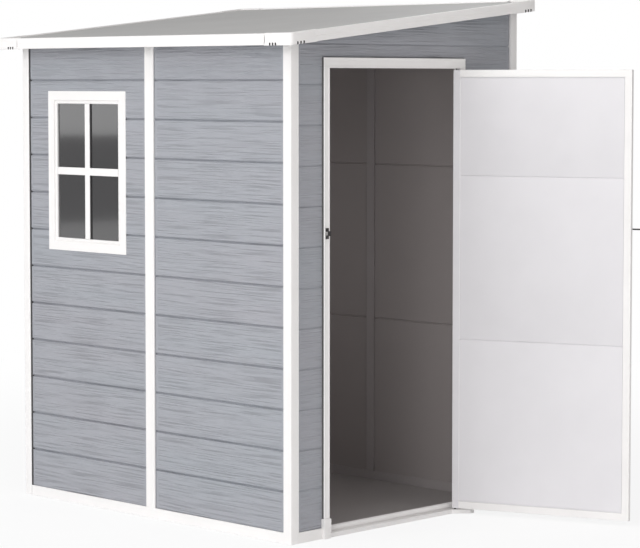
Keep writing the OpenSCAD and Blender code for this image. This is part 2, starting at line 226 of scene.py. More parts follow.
def plank_pattern(tree, at, spots, roughness=0.5):
    """A pattern over a plank's run and height, with spots of a size in millimetres."""
    scale = (1 / (spots[0] * MM), 1 / (spots[1] * MM), 1.0)
    placed = add_node(tree, "ShaderNodeMapping", None, {"Vector": at, "Scale": scale})
    return add_node(tree, "ShaderNodeTexNoise", {"noise_dimensions": "2D"},
                    {"Vector": placed.outputs[0], "Scale": 1.0, "Detail": 1.0, "Roughness": roughness})


def embossed_resin(name, base, slope, margin):
    """PVC rolled against an engraved drum while soft: matt, with long shallow grain ridges along each
    plank and a smooth band at the panel's sides. The ridges catch the light as fine streaks that waver,
    through their lean and through a painted highlight on their crests and painted shade in their troughs."""
    made, tree = new_material(name)
    run = add_node(tree, "ShaderNodeUVMap", {"uv_map": "run"}).outputs[0]
    sides = add_node(tree, "ShaderNodeUVMap", {"uv_map": "sides"}).outputs[0]
    side = add_node(tree, "ShaderNodeSeparateXYZ", None, {0: sides})
    nearest = add_node(tree, "ShaderNodeMath", {"operation": "MINIMUM"},
                       {0: side.outputs[0], 1: side.outputs[1]})
    mask = add_node(tree, "ShaderNodeMapRange", {"interpolation_type": "SMOOTHSTEP"},
                    {"Value": nearest.outputs[0], "From Min": margin * BAND_FROM,
                     "From Max": margin * BAND_TO})
    # The ridges wander up and down by a few mm over 400 mm of run, as sawn grain does
    waver = plank_pattern(tree, run, WAVER, 0.4)
    bent = add_node(tree, "ShaderNodeVectorMath", {"operation": "MULTIPLY_ADD"},
                    {0: waver.outputs[1], 1: (0.0, WAVER_SHIFT, 0.0), 2: run})
    # Such ridges are 2 to 4 mm wide. They are drawn 3 to 6 mm wide and 150 to 400 mm long, so that they
    # still show from a few metres away.
    fine = plank_pattern(tree, bent.outputs[0], FINE_RIDGES)
    broad = plank_pattern(tree, bent.outputs[0], BROAD_RIDGES)
    relief = add_node(tree, "ShaderNodeMath", {"operation": "MULTIPLY_ADD"},
                      {0: broad.outputs[0], 1: BROAD_SHARE, 2: fine.outputs[0]})
    shade = add_node(tree, "ShaderNodeMapRange", None,
                     {"Value": relief.outputs[0], "From Min": TROUGH, "From Max": CREST,
                      "To Min": -1.0, "To Max": 1.0})
    # The drum leaves the plank grooves smooth: there the surface faces up or down
    surface = add_node(tree, "ShaderNodeNewGeometry").outputs["Normal"]
    faces = add_node(tree, "ShaderNodeSeparateXYZ", None, {0: surface})
    tip = add_node(tree, "ShaderNodeMath", {"operation": "ABSOLUTE"}, {0: faces.outputs[2]})
    level = add_node(tree, "ShaderNodeMapRange", None,
                     {"Value": tip.outputs[0], "From Min": FADE_FROM, "From Max": FADE_TO,
                      "To Min": 1.0, "To Max": 0.0})
    grained = add_node(tree, "ShaderNodeMath", {"operation": "MULTIPLY"},
                       {0: mask.outputs["Result"], 1: level.outputs["Result"]})
    ridge = add_node(tree, "ShaderNodeMath", {"operation": "MULTIPLY"},
                     {0: shade.outputs["Result"], 1: grained.outputs[0]})
    # The crests are painted lighter and the troughs darker, a painted highlight and shade of the ridges
    painted_ridge_shading = add_node(tree, "ShaderNodeMath", {"operation": "MULTIPLY_ADD"},
                   {0: ridge.outputs[0], 1: RIDGE_PAINTED_SHADING, 2: 1.0})
    # Each ridge leans the surface up or down, so that it is light or dark under a light from above
    lean = add_node(tree, "ShaderNodeMath", {"operation": "MULTIPLY"}, {0: ridge.outputs[0], 1: slope})
    upward = add_node(tree, "ShaderNodeCombineXYZ", None, {2: lean.outputs[0]})
    leant = add_node(tree, "ShaderNodeVectorMath", {"operation": "ADD"},
                     {0: surface, 1: upward.outputs[0]})
    normal = add_node(tree, "ShaderNodeVectorMath", {"operation": "NORMALIZE"}, {0: leant.outputs[0]})
    drift = plank_pattern(tree, run, COLOUR_DRIFT)
    cool, warm = (tuple(c * k for c, k in zip(base, factor)) for factor in (COOLER, WARMER))
    tinted = add_node(tree, "ShaderNodeMix", {"data_type": "RGBA"},
                      {0: drift.outputs[0], 6: rgba(cool), 7: rgba(warm)})
    shaded = add_node(tree, "ShaderNodeVectorMath", {"operation": "SCALE"},
                      {0: tinted.outputs[2], "Scale": painted_ridge_shading.outputs[0]})
    body = add_node(tree, "ShaderNodeBsdfPrincipled", None,
                    {"Base Color": shaded.outputs[0], "Roughness": 0.62, "IOR": RESIN_IOR,
                     "Normal": normal.outputs[0]})
    add_node(tree, "ShaderNodeOutputMaterial", None, {"Surface": body.outputs[0]})
    return made


# The part of a noise's range that its values mostly fall in
NOISE_LOW = 0.3
NOISE_HIGH = 0.7

Texture = namedtuple("Texture", "size depth strength detail")
Cloud = namedtuple("Cloud", "size detail tone sheen")

# The slow drift of tone and sheen in what is drawn, pressed or powder-coated
EVEN = Cloud(size=160 * MM, detail=2.0, tone=0.015, sheen=0.05)
# The stronger drift of tone in what is moulded in one shot, which keeps its sheen
ONE_SHOT = Cloud(size=250 * MM, detail=3.0, tone=0.03, sheen=0)


def drifting(tree, noise, middle, drift):
    """A value that follows a noise by a little to either side of a middle, or just the middle."""
    if not drift:
        return middle
    follow = add_node(tree, "ShaderNodeMapRange", None,
                      {"Value": noise, "From Min": NOISE_LOW, "From Max": NOISE_HIGH,
                       "To Min": middle - drift, "To Max": middle + drift})
    return follow.outputs["Result"]


def textured(name, base, roughness, ior, texture, cloud):
    """A surface with a fine raised texture, whose tone and sheen drift slowly."""
    made, tree = new_material(name)
    place = add_node(tree, "ShaderNodeTexCoord").outputs["Object"]
    fine = add_node(tree, "ShaderNodeTexNoise", None,
                    {"Vector": place, "Scale": 1 / texture.size, "Detail": texture.detail})
    slow = add_node(tree, "ShaderNodeTexNoise", None,
                    {"Vector": place, "Scale": 1 / cloud.size, "Detail": cloud.detail}).outputs[0]
    shaded = add_node(tree, "ShaderNodeVectorMath", {"operation": "SCALE"},
                      {0: tuple(base), "Scale": drifting(tree, slow, 1.0, cloud.tone)})
    bump = add_node(tree, "ShaderNodeBump", None,
                    {"Strength": texture.strength, "Distance": texture.depth, "Height": fine.outputs[0]})
    body = add_node(tree, "ShaderNodeBsdfPrincipled", None,
                    {"Base Color": shaded.outputs[0], "IOR": ior, "Normal": bump.outputs[0],
                     "Roughness": drifting(tree, slow, roughness, cloud.sheen)})
    add_node(tree, "ShaderNodeOutputMaterial", None, {"Surface": body.outputs[0]})
    return made


def extruded_pvc(name, base, roughness):
    """PVC drawn through a polished die or rolls: even colour and a low satin sheen, a little wavy where it
    cooled unevenly."""
    wave = Texture(size=12 * MM, depth=0.1 * MM, strength=0.6, detail=1.0)
    return textured(name, base, roughness, RESIN_IOR, wave, EVEN)


def painted_shade_finish(name, base):
    """Painted shade: a dark grey, dull finish with a rubber's fine texture, put on faces in slots, gaps and
    notches so that they read as lines of shadow.
    """
    wave = Texture(size=4 * MM, depth=0.1 * MM, strength=0.6, detail=1.0)
    return textured(name, base, 0.85, 1.5, wave, EVEN)


def spark_textured_resin(name, base):
    """Polypropylene moulded against a spark-eroded tool: matt, with a very fine pebble that breaks up
    reflections. The pebble is under 1 mm and is drawn at 3 mm so that it shows close to."""
    pebble = Texture(size=3.03 * MM, depth=0.3 * MM, strength=0.25, detail=2.0)
    return textured(name, base, 0.6, 1.49, pebble, ONE_SHOT)


def powder_coated_steel(name, base):
    """Pressed steel under baked black powder: near black and half gloss, with a fine orange peel."""
    peel = Texture(size=2 * MM, depth=0.05 * MM, strength=0.6, detail=1.0)
    return textured(name, base, 0.38, 1.5, peel, EVEN)


def float_glass(name, base):
    """Float glass before a dark room: near black, which is painted shade that stands for the room behind it,
    with a tenth of the room showing through, and so flat that it mirrors the bright surroundings in an
    almost sharp sheet."""
    made, tree = new_material(name)
    body = add_node(tree, "ShaderNodeBsdfPrincipled", None,
                    {"Base Color": rgba(base), "Roughness": 0.06, "IOR": 1.52, "Specular IOR Level": 1.0,
                     "Coat Weight": 1.0, "Coat Roughness": 0.04, "Coat IOR": 1.52, "Alpha": 0.9})
    add_node(tree, "ShaderNodeOutputMaterial", None, {"Surface": body.outputs[0]})
    return made


FINISHES = {}


def finish(look):
    """The material of a look, made once."""
    if look not in FINISHES:
        tones = bpy.context.scene.shed_colours
        sizes = bpy.context.scene.shed_sizes
        makers = {
            "wall_panel": lambda: embossed_resin("Embossed PVC plank panel", tones.panel,
                                                 sizes.grain_slope, sizes.smooth_margin),
            "lining": lambda: extruded_pvc("Off-white calendered PVC panel back", tones.lining, 0.55),
            "white_trim": lambda: extruded_pvc("White extruded PVC trim", tones.trim, 0.42),
            # The trims' faces inside the room, greyed as painted shade
            "shaded_trim": lambda: extruded_pvc("White extruded PVC trim greyed by painted shade", tones.shaded_trim,
                                               0.5),
            # Painted shade for faces in slots, gaps and notches
            "painted_shade": lambda: painted_shade_finish("Dark grey painted shade", tones.painted_shade),
            "sheet": lambda: extruded_pvc("Off-white calendered PVC sheet", tones.sheet, 0.5),
            "roof_panel": lambda: spark_textured_resin("Grey spark-textured polypropylene roof",
                                                       tones.roof),
            "floor_deck": lambda: spark_textured_resin("Grey spark-textured polypropylene deck",
                                                       tones.deck),
            "black_metal": lambda: powder_coated_steel("Black powder-coated steel", tones.metal),
            "glazing": lambda: float_glass("Float glass", tones.glass),
        }
        FINISHES[look] = makers[look]()
    return FINISHES[look]


# ---- Making pieces ----


# Faces that meet at more than this many degrees keep a sharp edge: on trims, on reliefs and on the window's
# bead
SHARP = 40.0
SHARP_RELIEF = 25.0
SHARP_BEAD = 20.0
# Edges sharper than this are rounded, in this many steps
ROUND_FROM = math.radians(35)
ROUND_STEPS = 2
# Faces that meet at less than this are one flat face
FLAT = math.radians(0.5)


def new_piece(bm, slot, nodes, sharp=SHARP, looks=None):
    """Turns a bmesh into a piece in the finish that slot names, which rides with its CAD nodes and hides
    them, standing in their place. looks names its materials where they aren't just the slot's own."""
    name = nodes[0] + "_piece"
    mesh = bpy.data.meshes.new(name)
    bmesh.ops.recalc_face_normals(bm, faces=bm.faces)
    bm.to_mesh(mesh)
    bm.free()
    for face in mesh.polygons:
        face.use_smooth = True
    mesh.set_sharp_from_angle(angle=math.radians(sharp))
    for look in looks or [slot]:
        mesh.materials.append(finish(look))
    piece = bpy.data.objects.new(name, mesh)
    bpy.context.scene.collection.objects.link(piece)
    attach(piece, frame["nodes"][nodes[0]]["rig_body"])
    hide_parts(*nodes)
    return piece


def rounded(piece, width):
    """Rounds a piece's edges."""
    bevel = piece.modifiers.new("Rounded edges", "BEVEL")
    bevel.width = width
    bevel.segments = ROUND_STEPS
    bevel.limit_method = "ANGLE"
    bevel.angle_limit = ROUND_FROM
    bevel.harden_normals = True
    # The faces that a cut left are still flat
    for face in piece.data.polygons:
        face.use_smooth = True
    return piece


def second_look(piece, wanted):
    """Gives the faces that pass a test the piece's second material."""
    for face in piece.data.polygons:
        face.material_index = int(wanted(face))
    return piece


def from_frame(node):
    """A bmesh of a CAD node with its flat faces whole."""
    bm = bmesh.new()
    bm.from_mesh(frame["nodes"][node].data)
    bmesh.ops.remove_doubles(bm, verts=bm.verts, dist=SAME)
    bmesh.ops.dissolve_limit(bm, angle_limit=FLAT, verts=bm.verts, edges=bm.edges)
    return bm


def dressed(node, slot, width):
    """A CAD node in its slot's finish, with rounded edges."""
    return rounded(new_piece(from_frame(node), slot, [node]), width)


def shade_inside(piece):
    """Gives a white trim's faces that look into the room a grey copy of its white finish, painted shade for
    the dim room.
    """
    piece.data.materials.append(finish("shaded_trim"))

    def inside(face):
        depth = min(HALF_X - abs(face.center.x), HALF_Y - abs(face.center.y))
        return depth > FACE_SET + WALL_T - HAIR

    return second_look(piece, inside)


def cut_plane(bm, point, normal, clear=True):
    """Cuts a closed mesh along a plane. With clear, what lies beyond goes and the cut is closed."""
    made = bmesh.ops.bisect_plane(bm, geom=bm.verts[:] + bm.edges[:] + bm.faces[:], dist=SAME / 10,
                                  plane_co=point, plane_no=normal, clear_outer=clear)
    if clear:
        edges = [e for e in made["geom_cut"] if isinstance(e, bmesh.types.BMEdge)]
        bmesh.ops.holes_fill(bm, edges=edges, sides=0)


def cut_under_roof(bm):
    """Cuts a closed mesh off along the roof's sloping underside."""
    cut_plane(bm, (0, POST_HI.y, POST_HI.z), Vector((0, -SLOPE, 1)).normalized())


def prism(outline, z0, z1):
    """A closed upright prism of a plan outline."""
    bm = bmesh.new()
    low = [bm.verts.new((x, y, z0)) for x, y in outline]
    high = [bm.verts.new((x, y, z1)) for x, y in outline]
    bm.faces.new(low)
    bm.faces.new(high)
    bridge(bm, low, high)
    return bm


def bridge(bm, a, b):
    """Joins two closed rings of vertices with faces."""
    for i in range(len(a)):
        j = (i + 1) % len(a)
        bm.faces.new((a[i], a[j], b[j], b[i]))


def sweep(section, stations):
    """A closed solid through the same section at each station; a station turns (out, up) into a point."""
    bm = bmesh.new()
    rings = [[bm.verts.new(place(out, up)) for out, up in section] for place in stations]
    for a, b in zip(rings, rings[1:]):
        bridge(bm, a, b)
    bm.faces.new(rings[0])
    bm.faces.new(rings[-1])
    return bm


def relief_panel(across, up, front, back, place, hole=None, sides=None):
    """A closed panel on a grid of run positions and heights. front and back give the depth of its two
    faces, place turns (run, depth, height) into a point, hole is (run0, run1, height0, height1), and sides
    are the runs at which the grain's smooth bands begin. The back face takes the second material."""
    bm = bmesh.new()
    run_uv = bm.loops.layers.uv.new("run")
    side_uv = bm.loops.layers.uv.new("sides")
    across = sorted(across)
    up = sorted(up)
    left, right = sides or (across[0], across[-1])
    where = {}

    def vert(face, i, j):
        if (face, i, j) not in where:
            depth = face(across[i], up[j])
            made = bm.verts.new(place(across[i], depth, up[j]))
            where[face, i, j] = made
            where[made] = (across[i], up[j])
        return where[face, i, j]

    def in_hole(i, j):
        if not hole:
            return False
        u = (across[i] + across[i + 1]) / 2
        v = (up[j] + up[j + 1]) / 2
        return hole[0] < u < hole[1] and hole[2] < v < hole[3]

    cells = {(i, j) for i in range(len(across) - 1) for j in range(len(up) - 1)
             if not in_hole(i, j)}
    for i, j in sorted(cells):
        corners = [(i, j), (i + 1, j), (i + 1, j + 1), (i, j + 1)]
        bm.faces.new([vert(front, *c) for c in corners])
        bm.faces.new([vert(back, *c) for c in reversed(corners)]).material_index = 1
        beside = [(i, j - 1), (i + 1, j), (i, j + 1), (i - 1, j)]
        for k in range(4):
            if beside[k] not in cells:
                a, b = corners[k], corners[(k + 1) % 4]
                bm.faces.new([vert(front, *b), vert(front, *a), vert(back, *a), vert(back, *b)])
    for face in bm.faces:
        for loop in face.loops:
            u, v = where[loop.vert]
            loop[run_uv].uv = (u, v)
            loop[side_uv].uv = (u - left, right - u)
    return bm


def box_mesh(lo, hi):
    """A closed box between two corners."""
    bm = bmesh.new()
    bmesh.ops.create_cube(bm, size=1.0)
    lo, hi = Vector(lo), Vector(hi)
    bmesh.ops.transform(bm, verts=bm.verts,
                        matrix=Matrix.Translation((lo + hi) / 2) @ Matrix.Diagonal((*(hi - lo), 1)))
    return bm


def joined(parts):
    """One bmesh of several."""
    whole = bmesh.new()
    for part in parts:
        mesh = bpy.data.meshes.new("part")
        part.to_mesh(mesh)
        part.free()
        whole.from_mesh(mesh)
        bpy.data.meshes.remove(mesh)
    return whole


def carve(piece, cutter_bm):
    """Cuts a closed bmesh away from a piece's mesh."""
    mesh = bpy.data.meshes.new("cutter")
    cutter_bm.to_mesh(mesh)
    cutter_bm.free()
    cutter = bpy.data.objects.new("cutter", mesh)
    bpy.context.scene.collection.objects.link(cutter)
    cut = piece.modifiers.new("Cut", "BOOLEAN")
    cut.operation = "DIFFERENCE"
    cut.solver = "EXACT"
    cut.object = cutter
    bpy.context.view_layer.update()
    made = bpy.data.meshes.new_from_object(piece.evaluated_get(bpy.context.evaluated_depsgraph_get()))
    piece.modifiers.remove(cut)
    old = piece.data
    piece.data = made
    bpy.data.meshes.remove(old)
    bpy.data.objects.remove(cutter)
    return piece


# ---- Wall panels ----

# A groove's section, as (height over its deepest line in half widths, fraction of its depth): the plank
# above curves in gently and the one below begins with a sharp edge
PLANK_GROOVE = ((-0.7, 0.0), (-0.5, 1.0), (0.25, 1.0), (0.6, 0.55), (1.1, 0.18), (1.7, 0.0))
# The broad grooves of the inner faces are symmetric
SOFT_GROOVE = ((-1.0, 0.0), (-0.5, 0.8), (0.0, 1.0), (0.5, 0.8), (1.0, 0.0))
INNER_GROOVES = (690 * MM, 1340 * MM)
INNER_GROOVE_WIDTH = 8 * MM
INNER_GROOVE_DEPTH = 5 * MM
# Slack at the ends of a section's steps, in half widths
SLACK = 1e-4
# Width over which a panel's face turns into a seam or slot
TURN = 1 * MM
# The seams beside the door's jambs and over its head
JAMB_SLOT = 1 * MM
HEAD_SEAM = 3 * MM
HEAD_SEAM_DEPTH = 5 * MM
# Half the width of a joint strip, and how far the window's frame laps over its panel
STRIP_HALF = 25 * MM
WINDOW_LAP = 20 * MM


def groove_depth(v, centre, width, depth, section):
    """Depth of a groove at height v."""
    t = (v - centre) / (width / 2)
    for (t0, d0), (t1, d1) in zip(section, section[1:]):
        if t0 - SLACK <= t <= t1 + SLACK:
            return depth * (d0 + (d1 - d0) * (t - t0) / (t1 - t0))
    return 0.0


def groove_lines(centre, width, section):
    """The heights that a groove needs in the grid."""
    return {centre + t * width / 2 for t, _ in section}


def plank_grooves(z0, z1, first, pitch):
    """Heights of the plank grooves between two heights."""
    margin = bpy.context.scene.shed_sizes.groove_width
    heights = [first + pitch * n for n in range(int((z1 - first) / pitch) + 1)]
    return [z for z in heights if z0 + margin < z < z1 - margin]


def plank_face(ends, bottom, top, grooves, deep=None):
    """The depth of a plank face, and the runs and heights that its grid needs. ends holds, for each end,
    (run, direction inwards, width of the gap, depth of the gap), and deep is the grooves' own depth."""
    sizes = bpy.context.scene.shed_sizes
    seam = sizes.seam_width
    wide = sizes.groove_width
    deep = deep or sizes.groove_depth

    def face(u, v):
        for at, inward, gap, gap_depth in ends:
            if inward * (u - at) <= gap + SAME:
                return gap_depth
        if v <= bottom + seam + SAME or v >= top - seam - SAME:
            return sizes.seam_depth
        return max([0.0] + [groove_depth(v, z, wide, deep, PLANK_GROOVE) for z in grooves])

    us = {at + inward * (gap + more) for at, inward, gap, _ in ends for more in (0, TURN)}
    vs = {bottom + seam, bottom + seam + TURN, top - seam, top - seam - TURN}
    for z in grooves:
        vs |= groove_lines(z, wide, PLANK_GROOVE)
    return face, us, vs


def inner_face_depth(u, v):
    """Depth of a wall panel's inner face below its outer one."""
    return WALL_T - max(groove_depth(v, z, INNER_GROOVE_WIDTH, INNER_GROOVE_DEPTH, SOFT_GROOVE)
                        for z in INNER_GROOVES)


def wall_piece(nodes, lo, hi, us, vs, front, place, hole, visible):
    """A wall panel with its inner face, cut off under the roof. lo and hi are its corners as (run, height),
    us and vs what its front needs in the grid, and visible is its run between the trims."""
    tall = hi[1] + TALLER
    for z in INNER_GROOVES:
        vs |= groove_lines(z, INNER_GROOVE_WIDTH, SOFT_GROOVE)
    us = {u for u in us if lo[0] < u < hi[0]} | {lo[0], hi[0]}
    vs = {v for v in vs if lo[1] < v < tall} | {lo[1], tall}
    bm = relief_panel(us, vs, front, inner_face_depth, place, hole, visible)
    cut_under_roof(bm)
    return new_piece(bm, "wall_panel", nodes, SHARP_RELIEF, ["wall_panel", "lining"])


def wall_panel(node, run, out, side, hole=None):
    """A plank panel in place of a CAD one. run is the axis it runs along, out the sign of its outward side
    on the other axis, and side the sign of its half of the wall. An open slot lies beside the post and a
    fine seam beside the joint strip."""
    sizes = bpy.context.scene.shed_sizes
    lo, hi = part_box(node)
    k = "xy".index(run)
    face_at = hi[1 - k] if out > 0 else lo[1 - k]
    post = side * ((HALF_X, HALF_Y)[k] - POST_W)
    strip = side * STRIP_HALF
    ends = [(post, -side, sizes.slot_width, sizes.slot_depth),
            (strip, side, sizes.seam_width, sizes.seam_depth)]
    grooves = plank_grooves(RAIL_TOP, hi.z, sizes.first_groove, sizes.plank_pitch)
    front, us, vs = plank_face(ends, RAIL_TOP, math.inf, grooves)

    def place(u, depth, v):
        across = face_at - out * depth
        return (u, across, v) if k == 0 else (across, u, v)

    if hole:
        us |= {hole[0], hole[1]}
        vs |= {hole[2], hole[3]}
    return wall_piece([node], (lo[k], lo.z), (hi[k], hi.z), us, vs, front, place, hole,
                      sorted((post, strip)))


def door_end_wall():
    """The end wall with the door in one piece, with a notch for the door frame. Open slots lie beside the
    posts and the jambs, and a seam runs over the head."""
    sizes = bpy.context.scene.shed_sizes
    nodes = ["door_end_front_panel", "over_door_panel", "door_end_back_panel"]
    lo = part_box(nodes[0])[0]
    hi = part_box(nodes[2])[1]
    post_y = HALF_Y - POST_W
    ends = [(-inward * post_y, inward, sizes.slot_width, sizes.slot_depth) for inward in (1, -1)]
    jambs = ((HEAD_LO.y, -1), (HEAD_HI.y, 1))
    over = HEAD_HI.z + HEAD_SEAM
    grooves = plank_grooves(RAIL_TOP, hi.z, sizes.end_groove, sizes.end_pitch)
    plain, us, vs = plank_face(ends, RAIL_TOP, math.inf, grooves, sizes.end_depth)

    def front(u, v):
        if HEAD_LO.y - SAME <= u <= HEAD_HI.y + SAME and v <= over + SAME:
            return HEAD_SEAM_DEPTH
        for at, outward in jambs:
            if -SAME <= outward * (u - at) <= JAMB_SLOT + SAME and v <= HEAD_HI.z + SAME:
                return sizes.seam_depth
        return plain(u, v)

    for at, outward in jambs:
        us |= {at, at + outward * JAMB_SLOT, at + outward * (JAMB_SLOT + TURN)}
    vs |= {HEAD_HI.z, HEAD_HI.z + TURN, over, over + TURN}
    notch = (HEAD_LO.y, HEAD_HI.y, 0, HEAD_HI.z)
    return wall_piece(nodes, (lo.y, lo.z), (hi.y, hi.z), us, vs, front,
                      lambda u, depth, v: (hi.x - depth, u, v), notch, (-post_y, post_y))


class SHED_OT_wall_panels(bpy.types.Operator):
    """Makes the plank panels of the four walls"""
    bl_idname = "shed.wall_panels"
    bl_label = "Wall panels"

    def execute(self, context):
        hole = (WINDOW_LO.x + WINDOW_LAP, WINDOW_HI.x - WINDOW_LAP,
                WINDOW_LO.z + WINDOW_LAP, WINDOW_HI.z - WINDOW_LAP)
        wall_panel("front_window_panel", "x", -1, -1, hole)
        wall_panel("front_plain_panel", "x", -1, 1)
        wall_panel("back_door_side_panel", "x", 1, 1)
        wall_panel("back_blind_side_panel", "x", 1, -1)
        wall_panel("blind_end_front_panel", "y", -1, -1)
        wall_panel("blind_end_back_panel", "y", -1, 1)
        door_end_wall()
        return {"FINISHED"}


# ---- Posts and joint strips ----

# The shallow line along a trim's face: its distance from the edge, its width and depth, and the share of its
# width over which each of its sides slopes
LINE_IN = 7 * MM
LINE_W = 2 * MM
LINE_D = 0.8 * MM
LINE_SLOPE = 0.3
POST_ROUND = 3 * MM
# A joint strip's section: half the widths of its web and inner flange, and how far in the flange reaches
WEB_HALF = 6 * MM
INNER_HALF = 23 * MM
STRIP_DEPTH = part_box("front_joint_strip")[1].y + HALF_Y
# The line of painted shade along one edge of the inner flange: where it begins, from the strip's middle, and
# its thickness
SHADE_LINE_FROM = 19 * MM
SHADE_LINE_T = 2 * MM
# Top of the base rails inside the shed, on which the inner flanges stand
RAIL_INNER_TOP = 40 * MM


def face_line(at):
    """A shallow line along a trim's face, as (along, depth) steps."""
    return [(at, 0), (at + LINE_W * LINE_SLOPE, LINE_D), (at + LINE_W * (1 - LINE_SLOPE), LINE_D),
            (at + LINE_W, 0)]


def post_outline(sx, sy):
    """Plan of a corner post with a rounded outer corner and a shallow line near each free edge."""
    turns = [math.radians(22.5 * n) for n in range(5)]
    arc = [(POST_ROUND * (1 - math.sin(a)), POST_ROUND * (1 - math.cos(a))) for a in turns]
    along = [(POST_W, 0)] + [(POST_W - t, d) for t, d in face_line(LINE_IN)]
    mirrored = [(b, a) for a, b in reversed(along)]
    pts = along + arc + mirrored + [(POST_W, POST_W)]
    return [(sx * (HALF_X - a), sy * (HALF_Y - b)) for a, b in pts]


def strip_outline():
    """Plan of a joint strip's outer flange, as (along, depth), with a shallow line near each edge."""
    right = [(STRIP_HALF, 0)] + [(STRIP_HALF - t, d) for t, d in face_line(LINE_IN)]
    left = [(-a, b) for a, b in reversed(right)]
    return [(STRIP_HALF, FACE_SET)] + right + left + [(-STRIP_HALF, FACE_SET)]


class SHED_OT_posts_and_strips(bpy.types.Operator):
    """Makes the corner posts and the joint strips between the wall panels"""
    bl_idname = "shed.posts_and_strips"
    bl_label = "Posts and strips"

    def execute(self, context):
        width = context.scene.shed_sizes.trim_round / 3
        top = BACK_TOP + TALLER
        for node, sx, sy in (("front_door_post", 1, -1), ("front_blind_post", -1, -1),
                             ("back_door_post", 1, 1), ("back_blind_post", -1, 1)):
            bm = prism(post_outline(sx, sy), 0, top)
            cut_under_roof(bm)
            post = new_piece(bm, "white_trim", [node], looks=["white_trim", "painted_shade"])
            # The blind end's posts have their faces toward the long walls' panels painted dark grey as shade
            if sx < 0:
                second_look(post, lambda face: HALF_X - abs(face.center.x) > POST_W - HAIR)
            rounded(post, width)
        inner = FACE_SET + WALL_T
        low = inner + SHADE_LINE_T
        web = [(WEB_HALF, FACE_SET), (WEB_HALF, inner), (-WEB_HALF, inner), (-WEB_HALF, FACE_SET)]
        cover = [(INNER_HALF, inner), (INNER_HALF, STRIP_DEPTH), (-SHADE_LINE_FROM, STRIP_DEPTH),
                 (-SHADE_LINE_FROM, low), (-STRIP_HALF, low), (-STRIP_HALF, inner)]
        for node, turn in (("front_joint_strip", lambda a, b: (a, b - HALF_Y)),
                           ("back_joint_strip", lambda a, b: (a, HALF_Y - b)),
                           ("blind_end_joint_strip", lambda a, b: (b - HALF_X, a))):
            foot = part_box(node)[0].z
            parts = []
            for outline, z0 in ((strip_outline(), RAIL_TOP), (web, foot), (cover, RAIL_INNER_TOP)):
                part = prism([turn(a, b) for a, b in outline], z0, top)
                cut_under_roof(part)
                parts.append(part)
            # The strip's faces inside the room are painted grey as shade
            strip = shade_inside(new_piece(joined(parts), "white_trim", [node]))
            # The inner flange's faces along its one edge are painted dark grey as the shade beside it
            strip.data.materials.append(finish("painted_shade"))
            for face in strip.data.polygons:
                along = face.center.y if node == "blind_end_joint_strip" else face.center.x
                if face.material_index == 1 and along < -SHADE_LINE_FROM - HAIR:
                    face.material_index = 2
            rounded(strip, width)
        return {"FINISHED"}


# ---- Base ----

# The threshold's ledge, and the outer face of the ridge that stands on it
LEDGE_TOP = 16 * MM
RIDGE_OUT = 748.5 * MM
# The drain gap along the ridge's foot: its bottom and top over the ledge, and how far it runs in under the
# ridge and out before it
GAP_FROM = -0.5 * MM
GAP_TO = 5.5 * MM
GAP_IN = 6 * MM
GAP_OUT = 1 * MM


class SHED_OT_base(bpy.types.Operator):
    """Makes the floor deck, base rails, threshold and the jambs' sockets"""
    bl_idname = "shed.base"
    bl_label = "Base"

    def execute(self, context):
        width = context.scene.shed_sizes.trim_round
        dressed("floor_deck", "floor_deck", width)
        for node in ("front_base_rail", "back_base_rail", "blind_end_base_rail", "door_end_base_rails",
                     "latch_foot", "hinge_foot"):
            # Their faces inside the room are painted grey as shade
            shade_inside(dressed(node, "white_trim", width))
        threshold = new_piece(from_frame("threshold"), "white_trim", ["threshold"])
        carve(threshold, box_mesh((RIDGE_OUT - GAP_IN, HEAD_LO.y, LEDGE_TOP + GAP_FROM),
                                  (RIDGE_OUT + GAP_OUT, HEAD_HI.y, LEDGE_TOP + GAP_TO)))
        rounded(threshold, width / 3)
        return {"FINISHED"}


# ---- Door frame ----

# The raised rims along the edges of the frame's face: their width, their height and the run of their slopes
RIM = 4 * MM
RIM_STEP = 1.5 * MM
RIM_SLOPE = 3 * MM
JAMB_CHAMFER = 3 * MM
# How far a cutter runs past the end of what it cuts
PAST = 20 * MM


class SHED_OT_door_frame(bpy.types.Operator):
    """Makes the door's head, jambs and keeper"""
    bl_idname = "shed.door_frame"
    bl_label = "Door frame"

    def execute(self, context):
        sizes = context.scene.shed_sizes
        for node in ("door_head", "latch_jamb", "hinge_jamb"):
            lo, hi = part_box(node)
            # The head has a rim all round, the jambs have none at their ends
            end = RIM if node == "door_head" else -PAST
            low = Vector((hi.x - RIM_STEP, lo.y + RIM, lo.z + end))
            high = Vector((hi.x + RIM_STEP, hi.y - RIM, hi.z - end))
            middle = (low + high) / 2
            cutter = box_mesh(low, high)
            for vert in cutter.verts:
                if vert.co.x < hi.x:
                    vert.co.y += math.copysign(RIM_SLOPE, middle.y - vert.co.y)
                    vert.co.z += math.copysign(RIM_SLOPE, middle.z - vert.co.z)
            bm = from_frame(node)
            for y, outward in ((HEAD_LO.y, -1), (HEAD_HI.y, 1)):
                cut_plane(bm, (hi.x - JAMB_CHAMFER, y, 0), (1, outward, 0))
            piece = carve(new_piece(bm, "white_trim", [node], looks=["white_trim", "painted_shade"]), cutter)
            # The frame's faces round its outside, where it meets the panels, are painted dark grey as shade
            second_look(piece, lambda face: not (HEAD_LO.y + HAIR <= face.center.y <= HEAD_HI.y - HAIR
                                                 and face.center.z <= HEAD_HI.z - HAIR))
            rounded(piece, sizes.trim_round / 2)
        dressed("bolt_keeper", "black_metal", sizes.metal_round)
        return {"FINISHED"}


# ---- Window ----

